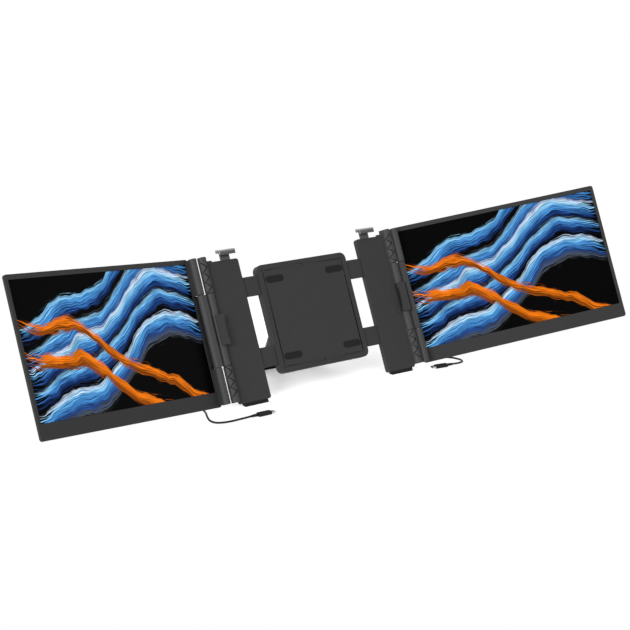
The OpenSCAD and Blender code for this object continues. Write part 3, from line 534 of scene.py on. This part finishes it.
def grown(name, tree, material, place, body):
    """Evaluates a Geometry Nodes tree once, puts its plain mesh in place and lets it ride."""
    seed = bpy.data.objects.new(name + "-seed", bpy.data.meshes.new(name + "-seed"))
    bpy.context.scene.collection.objects.link(seed)
    modifier = seed.modifiers.new("tree", "NODES")
    modifier.node_group = tree
    for item in tree.interface.items_tree:
        if item.in_out == "INPUT" and item.name == "Material":
            modifier[item.identifier] = material
    graph = bpy.context.evaluated_depsgraph_get()
    mesh = bpy.data.meshes.new_from_object(seed.evaluated_get(graph))
    bpy.data.objects.remove(seed)
    bm = bmesh.new()
    bm.from_mesh(mesh)
    bpy.data.meshes.remove(mesh)
    bmesh.ops.transform(bm, matrix=place, verts=bm.verts)
    return add_piece(name, bm, body, material)


# Shoulders of a grip, and its strain relief in millimetres: its radius, how much that narrows and
# how far it starts inside the grip
SHOULDER = 0.9 * MM
RELIEF_R = 2.2
RELIEF_NARROWS = 0.5
OVERLAP = 0.2 * MM
# Length, thickness, width and wall of a plug's metal tongue, and the depth of its hollow
TIP = (6.5 * MM, 2.4 * MM, 8.3 * MM)
TIP_WALL = 0.35 * MM
TIP_HOLLOW = 5 * MM
# The bevel at the front of the tongue, along it and across it
TIP_BEVEL = (0.3 * MM, 0.25 * MM)


def circle(radius, corners=24):
    """Points round a circle, in its own two directions."""
    angles = [k * math.tau / corners for k in range(corners)]
    return [(radius * math.cos(angle), radius * math.sin(angle)) for angle in angles]


def placed_rings(place, rings):
    """Puts flat rings, each given with its place along X, where the piece belongs."""
    return [[place @ Vector((x, a, b)) for a, b in ring] for x, ring in rings]


def plug_grip(bm, place):
    """A soft grip with rounded shoulders and its tapered strain relief, behind x = 0."""
    length, thin, wide = GRIP
    stations = [(0, 1.0), (0.35, 0.35), (1, 0)]
    front = [(-back * SHOULDER, tuck * SHOULDER) for back, tuck in stations]
    rear = [(-length + back * SHOULDER, tuck * SHOULDER) for back, tuck in reversed(stations)]
    loft(bm, placed_rings(place, [(x, stadium(thin - cut, wide - cut)) for x, cut in front + rear]))
    taper = []
    for share in (0, 0.25, 0.5, 0.75, 1):
        radius = (RELIEF_R - RELIEF_NARROWS * share) * MM
        x = -length + OVERLAP - share * (RELIEF + OVERLAP)
        taper.append((x, circle(radius)))
    loft(bm, placed_rings(place, taper))


def metal_tip(bm, place):
    """The hollow metal tongue ahead of a grip."""
    length, thin, wide = TIP
    along, cut_back = TIP_BEVEL
    stations = [(-OVERLAP, 0), (length - along, 0), (length, cut_back), (length, 2 * TIP_WALL),
                (length - TIP_HOLLOW, 2 * TIP_WALL)]
    loft(bm, placed_rings(place, [(x, stadium(thin - cut, wide - cut)) for x, cut in stations]))


def cable(side, line, thickness, jacket):
    """A round cable along a line of points."""
    curve = bpy.data.curves.new("lead_" + side + "_line", "CURVE")
    curve.dimensions = "3D"
    curve.bevel_depth = thickness / 2
    curve.bevel_resolution = 5
    curve.use_fill_caps = True
    spline = curve.splines.new("POLY")
    spline.points.add(len(line) - 1)
    for point, at in zip(spline.points, line):
        point.co = (*at, 1)
    spline.use_smooth = True
    lead = bpy.data.objects.new("lead_cable_" + side, curve)
    bpy.context.scene.collection.objects.link(lead)
    curve.materials.append(jacket)
    return lead


class EXTENDER_OT_leads(Operator):
    """Lays the two leads on the desk and models their plugs"""

    bl_idname = "extender.leads"
    bl_label = "Leads and plugs"

    def execute(self, context):
        settings = context.scene.extender_leads
        jacket = grained("lead jacket", (*settings.colour, 1), 0.42, grain=0.5, relief=0.04, mottle=0.12)
        metal = grained("plug metal", linear("b9bbc0"), 0.25, grain=0.2, relief=0.03, mottle=0.05,
                        metallic=1.0)
        ribs = relief_ribs()
        for side in SIDES:
            body = "monitor_" + side
            screen_place = monitor_matrix(side) @ Matrix.Translation(
                (SIGN[side] * PLUG_FACE_X, SOCKET_Y, SOCKET_Z)) @ Matrix.Diagonal((SIGN[side], 1, 1, 1))
            desk_place = Matrix.Translation(on_desk(PLUG_AT[side])) @ Matrix.Rotation(
                PLUG_TURN[side], 4, "Z") @ Matrix.Rotation(math.pi / 2, 4, "X")
            for end, place in (("screen", screen_place), ("laptop", desk_place)):
                bm = bmesh.new()
                plug_grip(bm, place)
                add_piece(f"{end}_grip_{side}", bm, body, jacket)
                bm = bmesh.new()
                metal_tip(bm, place)
                tip = add_piece(f"{end}_tip_{side}", bm, body, metal)
                back = Matrix.Translation((-GRIP[0] - RIB_START, 0, 0)) @ Matrix.Rotation(math.pi, 4, "Z")
                rings = grown(f"{end}_relief_ribs_{side}", ribs, jacket, place @ back, body)
                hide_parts(f"{end}_plug_{side}")
            line = lead_line(side)
            lead = cable(side, line, settings.thickness, jacket)
            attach(lead, body)
            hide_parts("lead_" + side)
        return {"FINISHED"}


# ---- pictures ----

# The drift, strands and frayed ends of the ribbons, in picture widths and heights
DRIFT_RUN = 3.0
DRIFT_SCALE = 1.6
DRIFT_HEIGHT = 0.22
STRAND_RUN = 4.0
STRAND_FINENESS = 46.0
STRAND_SCALE = 2.4
STRAND_JITTER = 0.13
STRAND_SHADE = (0.4, 1.35)
FRAY_SLOPE = 6.0
FRAY_UNEVEN = 3.0
FRAY_EDGE = (0.1, 0.4)
# Each fan of ribbons: its slope, its waves as height, turns and phase, and its colours by height
COOL_SLOPE = -0.42
COOL_WAVES = ((0.13, 0.85, 0.6), (0.05, 1.9, 2.1))
COOL_STOPS = (
    (0.0, "black"), (0.08, "black"), (0.11, "slate"), (0.15, "deep"), (0.215, "bright"),
    (0.245, "sky"), (0.26, "pale"), (0.266, "pale"), (0.275, "black"), (0.30, "black"),
    (0.35, "deep"), (0.40, "bright"), (0.425, "sky"), (0.437, "slate"), (0.445, "black"),
    (0.49, "deep"), (0.54, "bright"), (0.58, "sky"), (0.60, "pale"), (0.612, "pale"),
    (0.62, "deep"), (0.69, "bright"), (0.712, "sky"), (0.722, "slate"), (0.735, "black"),
    (0.77, "black"), (0.80, "deep"), (0.87, "bright"), (0.90, "sky"), (0.91, "black"))
WARM_SLOPE = 0.62
WARM_WAVES = ((0.10, 0.75, 3.6), (0.04, 2.3, 0.3))
WARM_STOPS = (
    (0.0, "none"), (0.475, "none"), (0.49, "ember"), (0.51, "ember"), (0.56, "warm"),
    (0.59, "warm"), (0.60, "none"), (0.735, "none"), (0.745, "ember"), (0.765, "ember"),
    (0.80, "warm"), (0.815, "warm"), (0.825, "none"), (1.0, "none"))
# Colours beside those of the panel: two of their own, and two as a share of a panel colour's light
FIXED_COLOURS = {"black": (0.0008, 0.0006, 0.0006, 1), "none": (0.02, 0.006, 0.002, 0)}
DARKENED_COLOURS = {"ember": ("warm", 0.3), "slate": ("pale", 0.12)}
# The panel's own surface under its light
PANEL_BASE = (0.001, 0.001, 0.001, 1)
PANEL_ROUGHNESS = 0.34
PANEL_SPECULAR = 0.02


def picture_place(nodes, side):
    """Socket values that run from 0 to 1 across and up the picture, from the user's left."""
    back = monitor_matrix(side).inverted()
    place = nodes.add("ShaderNodeTexCoord").outputs["Object"]
    local = nodes.add("ShaderNodeMapping", {
        "Vector": place, "Location": back.to_translation(), "Rotation": back.to_euler()}).outputs[0]
    axes = nodes.add("ShaderNodeSeparateXYZ", {0: local}).outputs
    left_edge = PICTURE_X if side == "right" else -PICTURE_X - PICTURE_W
    across = nodes.maths("DIVIDE", nodes.maths("SUBTRACT", axes[0], left_edge), PICTURE_W)
    up = nodes.maths("DIVIDE", nodes.maths("SUBTRACT", axes[2], PICTURE_Z), PICTURE_H)
    return across, up


def wave(nodes, across, height, turns, phase):
    """height times a sine of so many turns across the picture."""
    angle = nodes.maths("MULTIPLY_ADD", across, turns * math.tau)
    angle.node.inputs[2].default_value = phase
    return nodes.maths("MULTIPLY", nodes.maths("SINE", angle), height)


def frayed(nodes, across, strands):
    """How much is left of each strand near the picture's two sides, where the ribbons fray out."""
    side = nodes.maths("MINIMUM", across, nodes.maths("SUBTRACT", 1.0, across))
    reach = nodes.maths("MULTIPLY", nodes.maths("SUBTRACT", strands, 0.5), FRAY_UNEVEN)
    return ramped(nodes, nodes.maths("ADD", nodes.maths("MULTIPLY", side, FRAY_SLOPE), reach), *FRAY_EDGE)


def silk_ribbons(nodes, across, up, slope, waves, stops):
    """Colour and cover of a fan of silk ribbons, finely stranded along their run."""
    level = nodes.maths("ADD", up, nodes.maths("MULTIPLY", across, slope))
    for height, turns, phase in waves:
        level = nodes.maths("ADD", level, wave(nodes, across, height, turns, phase))
    drift = nodes.add("ShaderNodeCombineXYZ", {0: nodes.maths("MULTIPLY", across, DRIFT_RUN), 1: level})
    cloud = nodes.add("ShaderNodeTexNoise", {
        "Vector": drift.outputs[0], "Scale": DRIFT_SCALE, "Detail": 3})
    level = nodes.maths("ADD", level, nodes.maths("MULTIPLY", cloud.outputs["Fac"], DRIFT_HEIGHT))
    strand_place = nodes.add("ShaderNodeCombineXYZ", {
        0: nodes.maths("MULTIPLY", across, STRAND_RUN), 1: nodes.maths("MULTIPLY", level, STRAND_FINENESS)})
    strands = nodes.add("ShaderNodeTexNoise", {
        "Vector": strand_place.outputs[0], "Scale": STRAND_SCALE, "Detail": 6}).outputs["Fac"]
    jitter = nodes.maths("MULTIPLY", nodes.maths("SUBTRACT", strands, 0.5), STRAND_JITTER)
    colour = nodes.ramp(nodes.maths("ADD", level, jitter), stops)
    shade = ramped(nodes, strands, *NOISE_SPAN, *STRAND_SHADE)
    left = frayed(nodes, across, strands)
    shown = nodes.maths("MULTIPLY", shade, left)
    cover = nodes.maths("MULTIPLY", colour.node.outputs["Alpha"], left)
    return nodes.mix(1.0, colour, shown, "MULTIPLY"), cover


def lit_picture(side, settings):
    """A generic picture of silk ribbons on black, lit from behind."""
    material, nodes, surface = shader("lit picture " + side)
    colours = {name: (*getattr(settings, name), 1) for name in ("deep", "bright", "sky", "warm", "pale")}
    colours.update(FIXED_COLOURS)
    for name, (source, share) in DARKENED_COLOURS.items():
        colours[name] = shaded(colours[source], share)
    cool_stops, warm_stops = ([(place, colours[name]) for place, name in stops]
                              for stops in (COOL_STOPS, WARM_STOPS))
    across, up = picture_place(nodes, side)
    cool, _ = silk_ribbons(nodes, across, up, COOL_SLOPE, COOL_WAVES, cool_stops)
    hot, cover = silk_ribbons(nodes, across, up, WARM_SLOPE, WARM_WAVES, warm_stops)
    colour = nodes.mix(cover, cool, hot)
    edges = [nodes.maths("GREATER_THAN", across, 0.0), nodes.maths("LESS_THAN", across, 1.0),
             nodes.maths("GREATER_THAN", up, 0.0), nodes.maths("LESS_THAN", up, 1.0)]
    nodes.link(nodes.mix(product(nodes, *edges), (0, 0, 0, 1), colour), surface.inputs["Emission Color"])
    surface.inputs["Emission Strength"].default_value = settings.brightness
    surface.inputs["Base Color"].default_value = PANEL_BASE
    surface.inputs["Roughness"].default_value = PANEL_ROUGHNESS
    surface.inputs["Specular IOR Level"].default_value = PANEL_SPECULAR
    return material


class EXTENDER_OT_pictures(Operator):
    """Lights both panels with a generic picture"""

    bl_idname = "extender.pictures"
    bl_label = "Pictures"

    def execute(self, context):
        settings = context.scene.extender_pictures
        for side in SIDES:
            dress(lit_picture(side, settings), "screen_glass_" + side)
        sheet_metal = grained("backlight sheet", linear("c4c6ca"), 0.35, grain=0.3, relief=0.04,
                              mottle=0.05, metallic=1.0, stretch=(1, 1, 12))
        dress(sheet_metal, *both("backlight"))
        return {"FINISHED"}


# ---- finishes ----

class EXTENDER_OT_cases(Operator):
    """Finishes the monitor cases, their keys, boards and sockets"""

    bl_idname = "extender.cases"
    bl_label = "Monitor cases"

    def execute(self, context):
        finish = context.scene.extender_finish
        case = (*finish.case, 1)
        dress(grained("moulded case", case, 0.52, grain=0.28, relief=0.10, mottle=0.08),
              *both("rear_cover"))
        dress(grained("bezel plastic", case, 0.46, grain=0.2, relief=0.05, mottle=0.05),
              *both("front_bezel"))
        dress(grained("key plastic", linear("2a2a2b"), 0.38, grain=0.25, relief=0.05),
              *both("power_key", "menu_key"))
        dress(grained("solder mask", linear("14532f"), 0.3, grain=0.6, relief=0.1), *both("driver_board"))
        dress(grained("socket metal", linear("a9abb0"), 0.28, grain=0.2, relief=0.03, metallic=1.0),
              *both("charge_sockets"))
        soften(0.25 * MM, *both("front_bezel", "power_key", "menu_key"))
        return {"FINISHED"}


class EXTENDER_OT_hinges(Operator):
    """Finishes the hinge columns and their shafts"""

    bl_idname = "extender.hinges"
    bl_label = "Hinge columns"

    def execute(self, context):
        finish = context.scene.extender_finish
        hinge = (*finish.hinge, 1)
        for side in SIDES:
            inner, outer, link = (
                grained(f"{name} paint {side}", hinge, roughness, grain=0.18, relief=0.06, mottle=0.08)
                for name, roughness in (("inner knuckle", 0.5), ("outer knuckle", 0.55), ("link", 0.5)))
            # Painted shade: on the floor of the engraved grooves, in the corner by the bezel and in the
            # link's valley
            dress(shaded_grooves(inner, side), "inner_knuckles_" + side)
            dress(shaded_corner(outer, side), "outer_knuckles_" + side)
            dress(shaded_valley(link, side), "link_" + side)
        steel = grained("ground steel", linear("b4b6ba"), 0.24, grain=0.15, relief=0.03,
                        mottle=0.05, metallic=1.0, stretch=(1, 1, 0.08))
        dress(steel, *both("inner_shafts", "outer_shafts", "friction_sleeves"), "kick_pin", "travel_stops")
        return {"FINISHED"}


class EXTENDER_OT_back_frame(Operator):
    """Finishes the telescoping back frame, its rubber and the kickstand"""

    bl_idname = "extender.back_frame"
    bl_label = "Back frame and kickstand"

    def execute(self, context):
        finish = context.scene.extender_finish
        shell = grained("frame plastic", (*finish.case, 1), 0.55, grain=0.32, relief=0.12, mottle=0.08)
        rubber = grained("soft rubber", (*finish.rubber, 1), 0.78, grain=0.22, relief=0.18, mottle=0.12)
        stand = grained("blasted aluminium", linear("5b5c60"), 0.42, grain=0.16, relief=0.08,
                        mottle=0.06, metallic=0.85)
        oxide = grained("black oxide steel", linear("3a3b3e"), 0.36, grain=0.15, relief=0.04, metallic=0.9)
        dress(shell, "back_housing", "front_cover", *both("arm_panel"))
        dress(oxide, "cover_screws")
        dress(rubber, "front_pads", "kick_foot", *both("arm_foot", "hook_pad", "clip_lining"))
        dress(stand, "kickstand")
        soften(0.5 * MM, "kickstand", "front_cover")
        soften(0.35 * MM, *both("arm_foot"))
        return {"FINISHED"}


class EXTENDER_OT_grips(Operator):
    """Finishes the side clips and top hooks that hold the lid"""

    bl_idname = "extender.grips"
    bl_label = "Clips and hooks"

    def execute(self, context):
        finish = context.scene.extender_finish
        clip = grained("clip plastic", (*finish.clip, 1), 0.44, grain=0.24, relief=0.07, mottle=0.07)
        hook = grained("hook plastic", (*finish.hook, 1), 0.3, grain=0.24, relief=0.02, mottle=0.05,
                       specular=0.7)
        dress(clip, *both("side_clip"))
        unlean = Matrix.Rotation(LEAN, 3, "X")
        top = max((unlean @ v.co).z for v in frame["nodes"]["top_hook_left"].data.vertices)
        # Painted highlight over the hooks' uppermost part, fading up from their own colour
        dress(painted_top_highlight(hook, top, (*finish.hook_highlight, 1)), *both("top_hook"))
        soften(0.4 * MM, *both("side_clip"))
        soften(1.2 * MM, *both("top_hook"))
        return {"FINISHED"}


# ---- stage ----

# Even light from all round, and the glow that lifts the lit floor near the object to plain white
WORLD_LIGHT = 0.42
FLOOR_LIFT = 0.36
# The floor fades out between these half widths and half depths, beyond the hinge columns, so that it
# hides less of a monitor that is turned back below desk height. From behind it still hides a part
FLOOR_START = (0.125, 0.35)
FLOOR_END = (0.19, 0.6)
# Half the floor's width, in metres
FLOOR_HALF = 9
# Name, place, width and power of each lamp, and where they all point
LAMPS = (("left lamp", (-5.1, -2.3, 2.3), 2.4, 260), ("top lamp", (0.2, -0.6, 2.6), 2.2, 16),
         ("back lamp", (0.3, 2.6, 1.7), 2.0, 34))
LAMP_AIM = Vector((0, 0, 0.1))


def lamp(name, place, size, power):
    """A soft square lamp that points at the object."""
    light = bpy.data.lights.new(name, "AREA")
    light.size = size
    light.energy = power
    holder = bpy.data.objects.new(name, light)
    bpy.context.scene.collection.objects.link(holder)
    holder.location = place
    holder.rotation_euler = (LAMP_AIM - Vector(place)).to_track_quat("-Z", "Y").to_euler()


def showing(nodes):
    """1 for the rays that show the backdrop: to the camera, mirrored ones and those through glass."""
    path = nodes.add("ShaderNodeLightPath").outputs
    seen = nodes.maths("MAXIMUM", path["Is Camera Ray"], path["Is Glossy Ray"])
    return nodes.maths("MAXIMUM", seen, path["Is Transmission Ray"])


def floor_material(colour):
    """A pale floor that keeps the shadows under the frame and fades into the backdrop further out."""
    material, nodes, surface = shader("pale floor")
    surface.inputs["Base Color"].default_value = colour
    surface.inputs["Roughness"].default_value = 0.9
    surface.inputs["Specular IOR Level"].default_value = 0.0
    place = nodes.add("ShaderNodeTexCoord").outputs["Object"]
    axes = nodes.add("ShaderNodeSeparateXYZ", {0: place}).outputs
    across, away = (ramped(nodes, nodes.maths("ABSOLUTE", axis), end, start)
                    for axis, start, end in zip(axes, FLOOR_START, FLOOR_END))
    lift = nodes.maths("MULTIPLY", showing(nodes), FLOOR_LIFT)
    nodes.link(lift, surface.inputs["Emission Strength"])
    nodes.link(nodes.maths("MULTIPLY", across, away), surface.inputs["Alpha"])
    surface.inputs["Emission Color"].default_value = colour
    return material


class EXTENDER_OT_stage(Operator):
    """Sets the pale floor, the backdrop's light and the lamps"""

    bl_idname = "extender.stage"
    bl_label = "Stage"

    def execute(self, context):
        scene = context.scene
        scene.view_settings.view_transform = "Standard"
        bm = bmesh.new()
        bmesh.ops.create_grid(bm, x_segments=2, y_segments=2, size=FLOOR_HALF)
        mesh = bpy.data.meshes.new("floor")
        bm.to_mesh(mesh)
        bm.free()
        floor = bpy.data.objects.new("floor", mesh)
        scene.collection.objects.link(floor)
        mesh.materials.append(floor_material((*scene.extender_stage.floor, 1)))
        world = bpy.data.worlds.new("studio")
        world.use_nodes = True
        scene.world = world
        tree = Nodes(world.node_tree)
        power = tree.maths("MAXIMUM", showing(tree), WORLD_LIGHT)
        background = world.node_tree.nodes["Background"]
        background.inputs["Color"].default_value = (1, 1, 1, 1)
        tree.link(power, background.inputs["Strength"])
        for name, place, size, power in LAMPS:
            lamp(name, place, size, power)
        return {"FINISHED"}


# ---- panel and start ----

OPERATORS = (EXTENDER_OT_camera, EXTENDER_OT_leads, EXTENDER_OT_pictures, EXTENDER_OT_cases,
             EXTENDER_OT_hinges, EXTENDER_OT_back_frame, EXTENDER_OT_grips, EXTENDER_OT_stage)
SETTINGS = {"extender_leads": LeadSettings, "extender_pictures": PictureSettings,
            "extender_finish": FinishSettings, "extender_stage": StageSettings}


class EXTENDER_PT_panel(Panel):
    """Steps and settings of the screen extender"""

    bl_idname = "EXTENDER_PT_panel"
    bl_label = "Screen extender"
    bl_space_type = "VIEW_3D"
    bl_region_type = "UI"
    bl_category = "Extender"

    def draw(self, context):
        for name, group in SETTINGS.items():
            settings = getattr(context.scene, name)
            box = self.layout.box()
            for key in group.__annotations__:
                box.prop(settings, key)
        for operator in OPERATORS:
            self.layout.operator(operator.bl_idname)


CLASSES = (*SETTINGS.values(), *OPERATORS, EXTENDER_PT_panel)


def register():
    for cls in CLASSES:
        bpy.utils.register_class(cls)
    for name, group in SETTINGS.items():
        setattr(bpy.types.Scene, name, PointerProperty(type=group))


def unregister():
    for name in SETTINGS:
        delattr(bpy.types.Scene, name)
    for cls in reversed(CLASSES):
        bpy.utils.unregister_class(cls)


def main():
    register()
    bpy.ops.extender.camera()
    bpy.ops.extender.leads()
    bpy.ops.extender.pictures()
    bpy.ops.extender.cases()
    bpy.ops.extender.hinges()
    bpy.ops.extender.back_frame()
    bpy.ops.extender.grips()
    bpy.ops.extender.stage()


if __name__ == "__main__":
    main()
